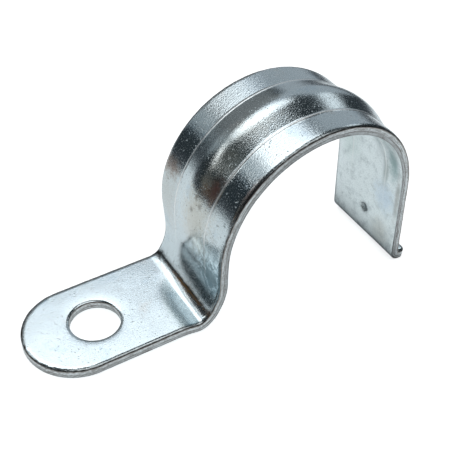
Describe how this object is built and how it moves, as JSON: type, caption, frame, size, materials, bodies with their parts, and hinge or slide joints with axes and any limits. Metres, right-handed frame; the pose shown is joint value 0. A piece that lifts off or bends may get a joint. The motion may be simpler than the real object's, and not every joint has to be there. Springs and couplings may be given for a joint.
{
  "type": "conduit strap",
  "caption": "Pressed steel one-hole conduit strap: a flat screw tab with a round end, a ribbed half-round saddle and a turned toe at the far leg.",
  "frame": {"origin": "middle of the screw hole on the tab's underside", "axes": "+X from the tab towards the toe, +Y along the conduit, +Z away from the wall"},
  "size_m": [0.0433, 0.0126, 0.0232],
  "materials": {
    "zinc_plated_steel": "bright zinc plate, lightly grained"
  },
  "bodies": {
    "root": {"strap": "zinc_plated_steel"}
  },
  "joints": []
}
